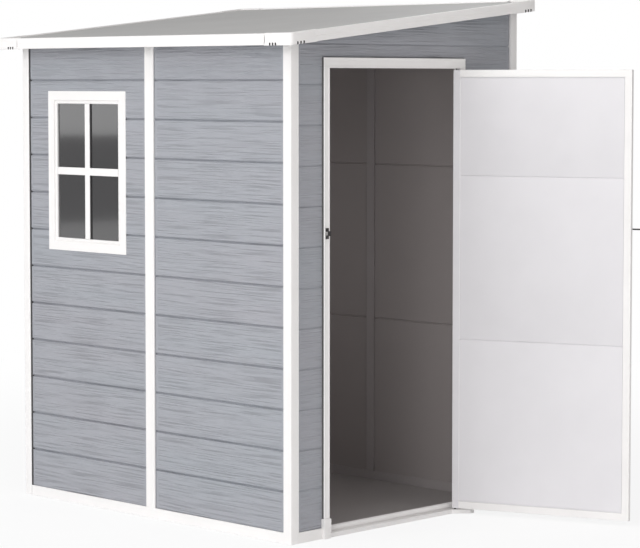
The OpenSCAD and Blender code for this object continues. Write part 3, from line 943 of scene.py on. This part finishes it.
# The frame's section, in millimetres, as (distance in from its outer edge, height over the wall panel's
# face): a flat flange, a step down to the glazing bead and the reveal down to the pane
WINDOW_SECTION = ((0, 0), (0, 2.2), (0.8, 3), (35, 3), (36, 2.4), (36.4, -3.5), (38.5, -4), (39.5, -2.2),
                  (41.5, -1.4), (46.5, -1.4), (49, -2.4), (50, -4.5), (50, -9), (44, -9), (44, -18),
                  (20, -18), (20, 0))
INNER_SECTION = ((0, -18), (44, -18), (44, -13), (50, -13), (50, -23.2), (49.2, -24), (0.8, -24),
                 (0, -23.2))
# The normal of a bar's side points outward by less than this
SIDEWAYS = 0.5


def window_ring(section, nodes):
    """A mitred frame of a section round the window's opening."""
    bm = bmesh.new()
    rings = []
    for cx, cz in ((-1, -1), (1, -1), (1, 1), (-1, 1)):
        ring = []
        for inset, out in section:
            x = (WINDOW_LO.x + inset * MM) if cx < 0 else (WINDOW_HI.x - inset * MM)
            z = (WINDOW_LO.z + inset * MM) if cz < 0 else (WINDOW_HI.z - inset * MM)
            ring.append(bm.verts.new((x, FRONT_LO.y - out * MM, z)))
        rings.append(ring)
    for n in range(4):
        bridge(bm, rings[n], rings[(n + 1) % 4])
    return new_piece(bm, "white_trim", nodes, SHARP_BEAD)


class SHED_OT_window(bpy.types.Operator):
    """Makes the window's frame, glazing bars and pane"""
    bl_idname = "shed.window"
    bl_label = "Window"

    def execute(self, context):
        window_ring(WINDOW_SECTION, ["window_frame"])
        window_ring(INNER_SECTION, ["window_inner_frame"])
        bars = new_piece(from_frame("window_bars"), "white_trim", ["window_bars"],
                         looks=["white_trim", "painted_shade"])
        # The bars' sides are painted dark grey as shade
        second_look(bars, lambda face: abs(face.normal.y) < SIDEWAYS)
        rounded(bars, context.scene.shed_sizes.trim_round)
        new_piece(from_frame("window_pane"), "glazing", ["window_pane"])
        return {"FINISHED"}


# ---- Roof ----

FASCIA_LO, FASCIA_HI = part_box("front_fascia")
FASCIA_T = FASCIA_HI.y - FASCIA_LO.y
ROOF_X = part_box("door_end_fascia")[1].x
CAPS_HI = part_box("roof_corner_caps")[1]
CAP_PROUD = CAPS_HI.x - ROOF_X
CAP_LEN = ROOF_X - FASCIA_HI.x
ROOF_Y0 = FASCIA_LO.y
ROOF_Y1 = CAPS_HI.y - CAP_PROUD
# How far the fascias reach down from the roof's underside, and up over its panels
FASCIA_DROP = 16 * MM
ROOF_T = 22 * MM
FASCIA_LIP = 4 * MM
FASCIA_ROUND = 2 * MM
# The shallow lines along a fascia's face: their heights over the roof's underside, half their widths at the
# face and at the bottom, and their depth
FASCIA_LINES = (26 * MM, 4 * MM, -8 * MM)
FASCIA_LINE_HALF = 1.5 * MM
FASCIA_LINE_FLOOR = 0.6 * MM
FASCIA_LINE_D = 0.8 * MM
# How far a fascia runs on under the caps at its ends
UNDER_CAP = 14 * MM
# Where a rounded corner's middle point lies, as a share of its radius
CORNER = 0.3


def fascia_section():
    """A fascia's section, as (out, up from the roof's underside), with shallow lines along its face."""
    top = ROOF_T + FASCIA_LIP
    low = -FASCIA_DROP
    r = FASCIA_ROUND
    lines = []
    for z in FASCIA_LINES:
        lines += [(0, z + FASCIA_LINE_HALF), (-FASCIA_LINE_D, z + FASCIA_LINE_FLOOR),
                  (-FASCIA_LINE_D, z - FASCIA_LINE_FLOOR), (0, z - FASCIA_LINE_HALF)]
    upper = [(-FASCIA_T, top), (-r, top), (-CORNER * r, top - CORNER * r), (0, top - r)]
    lower = [(0, low + r), (-CORNER * r, low + CORNER * r), (-r, low), (-FASCIA_T, low)]
    return upper + [p for p in lines if p[1] < top - r] + lower


def fascia(node):
    """A fascia in place of a CAD one, reaching a little way under the caps at its ends."""
    lo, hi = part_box(node)
    along_x = hi.x - lo.x > hi.y - lo.y
    section = fascia_section()
    if along_x:
        out = -1 if lo.y < 0 else 1
        face = lo.y if out < 0 else hi.y
        ends = (lo.x - UNDER_CAP, hi.x + UNDER_CAP)
        stations = [lambda o, u, x=x: (x, face + out * o, roof_under(face + out * o) + u) for x in ends]
    else:
        out = 1 if hi.x > 0 else -1
        face = hi.x if out > 0 else lo.x
        ends = (lo.y - UNDER_CAP, hi.y + UNDER_CAP)
        stations = [lambda o, u, y=y: (face + out * o, y, roof_under(y) + u) for y in ends]
    return new_piece(sweep(section, stations), "white_trim", [node], SHARP_RELIEF)


CAP_R = 20 * MM
CAP_ROUND = 2.5 * MM
# Length of a cap's leg that keeps its full section, and the steps of its face's height
CAP_STRAIGHT = 60 * MM
CAP_STEPS = 8
# The caps' covers stand out by half of what the solids do
CAP_SEEN = CAP_PROUD / 2
CAP_TOP = ROOF_T + FASCIA_LIP + CAP_SEEN
CAP_LOW = -FASCIA_DROP - CAP_SEEN
# Drain notches along each leg, from the corner
NOTCHES_LONG = (78 * MM, 92 * MM, 107 * MM)
NOTCHES_SIDE = (36 * MM, 52 * MM, 68 * MM)
NOTCH_W = 8 * MM
NOTCH_H = 11 * MM
NOTCH_D = 20 * MM
# Length over which a cap's leg on a verge sinks into the fascia, and how far it does, in cover thicknesses
CAP_FADE = 30 * MM
CAP_SINK = 1.4


def corner_cap(sx, sy):
    """A corner cap and the cutters of its notches: a bent cover with a rounded corner and curved ends."""
    curve = bpy.context.scene.shed_sizes.cap_curve
    corner_x = sx * (ROOF_X + CAP_SEEN)
    corner_y = (ROOF_Y1 + CAP_SEEN) if sy > 0 else (ROOF_Y0 - CAP_SEEN)
    leg = CAP_LEN + CAP_SEEN
    thick = FASCIA_T + CAP_SEEN
    top, low = CAP_TOP, CAP_LOW
    mid, half = (top + low) / 2, (top - low) / 2
    r = CAP_ROUND

    def end(up):
        return leg - curve * (1 - ((up - mid) / half) ** 2)

    def point(kind, t, out, up):
        if kind == "x":
            a, b = (t if t > 0 else end(up)), out
        elif kind == "y":
            a, b = out + (CAP_SINK * CAP_SEEN if t == 0 else 0), (t if t > 0 else end(up) + t)
        else:
            reach = max(CAP_R - out, 0)
            a = CAP_R - reach * math.sin(t)
            b = CAP_R - reach * math.cos(t)
        y = corner_y - sy * b
        return (corner_x - sx * a, y, roof_under(y) + up)

    section = [(thick, low), (r, low), (CORNER * r, low + CORNER * r), (0, low + r)]
    section += [(0, low + (top - low) * n / CAP_STEPS) for n in range(1, CAP_STEPS)]
    section += [(0, top - r), (CORNER * r, top - CORNER * r), (r, top), (thick, top)]
    # A place along a leg is counted from the corner, or back from the leg's end if it isn't above zero
    path = [("x", 0), ("x", CAP_R + CAP_STRAIGHT), ("x", CAP_R)]
    path += [("arc", math.radians(a)) for a in (15, 30, 45, 60, 75)]
    path += [("y", CAP_R), ("y", CAP_R + CAP_STRAIGHT), ("y", -CAP_FADE), ("y", 0)]
    stations = [lambda out, up, kind=kind, t=t: point(kind, t, out, up) for kind, t in path]
    cutters = []
    for along_x, places in ((True, NOTCHES_LONG), (False, NOTCHES_SIDE)):
        for at in places:
            x, y = (corner_x - sx * at, corner_y) if along_x else (corner_x, corner_y - sy * at)
            side, deep = (NOTCH_W / 2, NOTCH_D) if along_x else (NOTCH_D, NOTCH_W / 2)
            reach = Vector((side, deep, NOTCH_H))
            middle = Vector((x, y, roof_under(y) + low))
            cutters.append(box_mesh(middle - reach, middle + reach))
    return sweep(section, stations), joined(cutters)


class SHED_OT_roof(bpy.types.Operator):
    """Makes the roof panels, fascias and corner caps"""
    bl_idname = "shed.roof"
    bl_label = "Roof"

    def execute(self, context):
        for node in ("roof_panel_door_side", "roof_panel_blind_side"):
            dressed(node, "roof_panel", context.scene.shed_sizes.trim_round)
        for node in ("front_fascia", "back_fascia", "door_end_fascia", "blind_end_fascia"):
            fascia(node)
        caps, cutters = zip(*[corner_cap(sx, sy) for sx in (-1, 1) for sy in (-1, 1)])
        piece = new_piece(joined(caps), "white_trim", ["roof_corner_caps"], SHARP_RELIEF,
                          ["white_trim", "painted_shade"])
        # The notches' cut faces are painted dark grey, as the shade inside them
        notches = joined(cutters)
        for face in notches.faces:
            face.material_index = 1
        carve(piece, notches)
        return {"FINISHED"}


# ---- Door leaf ----

LEAF_GROOVES = (684 * MM, 1320 * MM)
LEAF_GROOVE_WIDTH = 6 * MM
LEAF_GROOVE_DEPTH = 4.2 * MM
# The open joint between the leaf's border frame and its inner sheet
BORDER_GAP = 4 * MM
BORDER_GAP_DEPTH = 3.5 * MM


def swung(point, angle):
    """Where the door's hinge takes a point."""
    return PIN + Matrix.Rotation(angle, 3, "Z") @ (Vector(point) - PIN)


def shut(point):
    """Where a point of the open leaf lies when the door is shut."""
    return swung(point, -DOOR_OPEN)


def opened(point):
    """Where a point of the shut leaf lies when the door stands open."""
    return swung(point, DOOR_OPEN)


def shut_box(node):
    """The box of a leaf's node when the door is shut."""
    points = [shut(v.co) for v in frame["nodes"][node].data.vertices]
    return (Vector([min(p[i] for p in points) for i in range(3)]),
            Vector([max(p[i] for p in points) for i in range(3)]))


class SHED_OT_door_leaf(bpy.types.Operator):
    """Makes the door leaf: its border frame, inner sheet, plank panel and pivot pins"""
    bl_idname = "shed.door_leaf"
    bl_label = "Door leaf"

    def execute(self, context):
        sizes = context.scene.shed_sizes
        lo, hi = shut_box("door_inner_sheet")
        # The hinge stile has the inner sheet's darker finish, which paints the shade beside the jamb; the
        # rest of the border has that of the trims
        bm = from_frame("door_border_frame")
        inward = opened(Vector((0, 1, 0)) + PIN) - opened(PIN)
        cut_plane(bm, opened((lo.x, hi.y, 0)), inward, False)
        border = new_piece(bm, "white_trim", ["door_border_frame"], looks=["white_trim", "sheet"])
        second_look(border, lambda face: shut(face.center).y > hi.y)
        rounded(border, sizes.trim_round)

        def front(u, v):
            if min(v - lo.z, hi.z - v) <= BORDER_GAP + SAME:
                return BORDER_GAP_DEPTH
            if u - lo.y <= sizes.seam_width + SAME:
                return sizes.seam_depth
            return max(groove_depth(v, z, LEAF_GROOVE_WIDTH, LEAF_GROOVE_DEPTH, PLANK_GROOVE)
                       for z in LEAF_GROOVES)

        us = {lo.y, lo.y + sizes.seam_width, lo.y + sizes.seam_width + TURN, hi.y}
        steps = (0, BORDER_GAP, BORDER_GAP + TURN)
        vs = {lo.z + step for step in steps} | {hi.z - step for step in steps}
        for z in LEAF_GROOVES:
            vs |= groove_lines(z, LEAF_GROOVE_WIDTH, PLANK_GROOVE)
        bm = relief_panel(us, vs, front, lambda u, v: hi.x - lo.x,
                          lambda u, depth, v: opened((lo.x + depth, u, v)))
        new_piece(bm, "white_trim", ["door_inner_sheet"], SHARP_RELIEF, ["sheet", "sheet"])

        lo, hi = shut_box("door_outer_panel")
        ends = [(at, inward, sizes.seam_width, sizes.seam_depth) for at, inward in ((lo.y, 1), (hi.y, -1))]
        grooves = plank_grooves(lo.z, hi.z, sizes.first_groove, sizes.plank_pitch)
        face, us, vs = plank_face(ends, lo.z, hi.z, grooves)
        bm = relief_panel(us | {lo.y, hi.y}, vs | {lo.z, hi.z}, face, lambda u, v: hi.x - lo.x,
                          lambda u, depth, v: opened((hi.x - depth, u, v)))
        new_piece(bm, "wall_panel", ["door_outer_panel"], SHARP_RELIEF, ["wall_panel", "lining"])
        dressed("door_pivot_pins", "black_metal", sizes.metal_round)
        return {"FINISHED"}


class SHED_OT_slide_bolt(bpy.types.Operator):
    """Makes the slide bolt on the door leaf"""
    bl_idname = "shed.slide_bolt"
    bl_label = "Slide bolt"

    def execute(self, context):
        width = context.scene.shed_sizes.metal_round
        dressed("bolt_body", "black_metal", width)
        dressed("bolt_rod", "black_metal", width)
        return {"FINISHED"}


# ---- Stage ----

# How far the floor reaches from its middle, in metres, and how far it lies under the shed
FLOOR_REACH = 15
FLOOR_DROP = 1 * MM
# Share of the floor's colour that is its own white instead of the light on it: near the shed, where it has
# to show the shadow, and the distances over which it rises to the whole
FLOOR_WHITE = 0.85
WHITE_FROM = 1.5
WHITE_TO = 5.0
# Strength of the studio's pale walls, which light the shed from every side
STUDIO_LIGHT = 0.4
STUDIO_WHITE = rgba(linear("FFFFFF"))
# Each soft lamp's place, the point that it faces, its width, height and power, and its colour
LAMPS = {
    "Key softbox": ((0.6, -9.6, 5.0), (0, -0.6, 0.9), 11.0, 4.5, 362, "FFFFFF"),
    "Top softbox": ((1.0, -3.0, 7.0), (0.3, -0.3, 1.0), 5.0, 5.0, 135, "FFFFFF"),
    "Fill softbox": ((7.5, 0.0, 4.0), (0.8, 0, 0.9), 3.0, 3.0, 28, "FFF1E8"),
    "Strip softbox": ((-8.3, -7.0, 3.2), (-0.4, -0.6, 1.4), 2.0, 4.0, 29, "FFFFFF"),
    "Back softbox": ((-4.0, 8.5, 4.0), (0, 0.6, 0.9), 5.0, 3.0, 160, "FFFFFF"),
    "Side softbox": ((5.5, -8.5, 1.3), (1.0, 0, 0.8), 2.5, 2.2, 120, "FFFFFF"),
    # A small lamp that stands for the light bounced about the room, and isn't seen itself
    "Room softbox": ((-0.25, -0.5, 1.2), (-0.6, 0.6, 0.6), 0.3, 0.3, 1.3, "FFFFFF"),
}

CAMERA_AT = (6.81678, -6.62446, 1.68791)
# The camera's turn from looking along +Y and its tip below level, in degrees
CAMERA_TURN = 44.614
CAMERA_TIP = 3.596
# Focal length in millimetres, and shares of the frame's width that it is shifted by
CAMERA_LENS = 132.851
CAMERA_SHIFT = (0.00452, -0.07)


def soft_lamp(name, at, toward, width, height, power, tint):
    """An area lamp that faces a point."""
    data = bpy.data.lights.new(name, "AREA")
    data.shape = "RECTANGLE"
    data.size = width
    data.size_y = height
    data.energy = power
    data.color = linear(tint)
    lamp = bpy.data.objects.new(name, data)
    lamp.location = at
    lamp.rotation_euler = (Vector(toward) - Vector(at)).to_track_quat("-Z", "Y").to_euler()
    bpy.context.scene.collection.objects.link(lamp)
    return lamp


def seen_rays(tree, kinds):
    """1 where a ray is of one of the kinds, else 0."""
    path = add_node(tree, "ShaderNodeLightPath")
    total = path.outputs[kinds[0]]
    for kind in kinds[1:]:
        both = add_node(tree, "ShaderNodeMath", {"operation": "MAXIMUM"},
                        {0: total, 1: path.outputs[kind]})
        total = both.outputs[0]
    return total


def studio_floor():
    """The pale floor, which is its own white further away and keeps the shed's shadow near it."""
    made, tree = new_material("Matt white studio paint")
    seen = seen_rays(tree, ("Is Camera Ray", "Is Glossy Ray", "Is Transmission Ray"))
    place = add_node(tree, "ShaderNodeNewGeometry").outputs["Position"]
    away = add_node(tree, "ShaderNodeVectorMath", {"operation": "LENGTH"}, {0: place})
    white = add_node(tree, "ShaderNodeMapRange", {"interpolation_type": "SMOOTHSTEP"},
                     {"Value": away.outputs["Value"], "From Min": WHITE_FROM, "From Max": WHITE_TO,
                      "To Min": FLOOR_WHITE, "To Max": 1.0})
    share = add_node(tree, "ShaderNodeMath", {"operation": "MULTIPLY"},
                     {0: seen, 1: white.outputs["Result"]})
    paint = add_node(tree, "ShaderNodeBsdfDiffuse", None,
                     {"Color": rgba(bpy.context.scene.shed_colours.ground)})
    glow = add_node(tree, "ShaderNodeEmission", None, {"Color": STUDIO_WHITE, "Strength": 1.0})
    both = add_node(tree, "ShaderNodeMixShader", None,
                    {0: share.outputs[0], 1: paint.outputs[0], 2: glow.outputs[0]})
    add_node(tree, "ShaderNodeOutputMaterial", None, {"Surface": both.outputs[0]})
    bm = bmesh.new()
    bmesh.ops.create_grid(bm, x_segments=1, y_segments=1, size=FLOOR_REACH)
    mesh = bpy.data.meshes.new("Studio floor")
    bm.to_mesh(mesh)
    bm.free()
    mesh.materials.append(made)
    floor = bpy.data.objects.new("Studio floor", mesh)
    floor.location.z = -FLOOR_DROP
    bpy.context.scene.collection.objects.link(floor)
    return floor


def studio_walls():
    """The world: white where it is seen, and a weaker light on the shed."""
    world = bpy.data.worlds.new("Studio")
    world.use_nodes = True
    tree = world.node_tree
    tree.nodes.clear()
    seen = seen_rays(tree, ("Is Camera Ray", "Is Transmission Ray"))
    strength = add_node(tree, "ShaderNodeMapRange", None,
                        {"Value": seen, "To Min": STUDIO_LIGHT, "To Max": 1.0})
    shell = add_node(tree, "ShaderNodeBackground", None,
                     {"Color": STUDIO_WHITE, "Strength": strength.outputs["Result"]})
    add_node(tree, "ShaderNodeOutputWorld", None, {"Surface": shell.outputs[0]})
    return world


class SHED_OT_stage(bpy.types.Operator):
    """Makes the pale floor, the soft studio light and the camera"""
    bl_idname = "shed.stage"
    bl_label = "Stage"

    def execute(self, context):
        floor = studio_floor()
        context.scene.world = studio_walls()
        lamps = {name: soft_lamp(name, *values) for name, values in LAMPS.items()}
        room = lamps["Room softbox"]
        room.visible_camera = False
        room.visible_glossy = False

        data = bpy.data.cameras.new("Camera")
        data.lens = CAMERA_LENS
        data.shift_x, data.shift_y = CAMERA_SHIFT
        camera = bpy.data.objects.new("Camera", data)
        camera.location = CAMERA_AT
        camera.rotation_euler = (math.radians(90 - CAMERA_TIP), 0, math.radians(CAMERA_TURN))
        context.scene.collection.objects.link(camera)
        context.scene.camera = camera
        context.scene.view_settings.view_transform = "Standard"
        return {"FINISHED"}


# ---- Add-on ----

PIECES = (SHED_OT_wall_panels, SHED_OT_posts_and_strips, SHED_OT_base, SHED_OT_door_frame, SHED_OT_window,
          SHED_OT_roof, SHED_OT_door_leaf, SHED_OT_slide_bolt, SHED_OT_stage)


class SHED_PT_panel(bpy.types.Panel):
    """Lists the shed's sizes, colours and pieces"""
    bl_idname = "SHED_PT_panel"
    bl_label = "Tool shed"
    bl_space_type = "VIEW_3D"
    bl_region_type = "UI"
    bl_category = "Tool shed"

    def draw(self, context):
        for group in (context.scene.shed_sizes, context.scene.shed_colours):
            box = self.layout.box()
            for key in group.bl_rna.properties.keys():
                if key not in ("rna_type", "name"):
                    box.prop(group, key)
        for piece in PIECES:
            self.layout.operator(piece.bl_idname)


CLASSES = (ShedSizes, ShedColours, *PIECES, SHED_PT_panel)


def register():
    """Adds the shed's classes and settings."""
    for item in CLASSES:
        bpy.utils.register_class(item)
    bpy.types.Scene.shed_sizes = bpy.props.PointerProperty(type=ShedSizes)
    bpy.types.Scene.shed_colours = bpy.props.PointerProperty(type=ShedColours)


def unregister():
    """Takes the shed's classes and settings away."""
    del bpy.types.Scene.shed_colours
    del bpy.types.Scene.shed_sizes
    for item in reversed(CLASSES):
        bpy.utils.unregister_class(item)


def main():
    """Registers the add-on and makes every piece."""
    register()
    for piece in PIECES:
        group, name = piece.bl_idname.split(".")
        getattr(getattr(bpy.ops, group), name)()


if __name__ == "__main__":
    main()
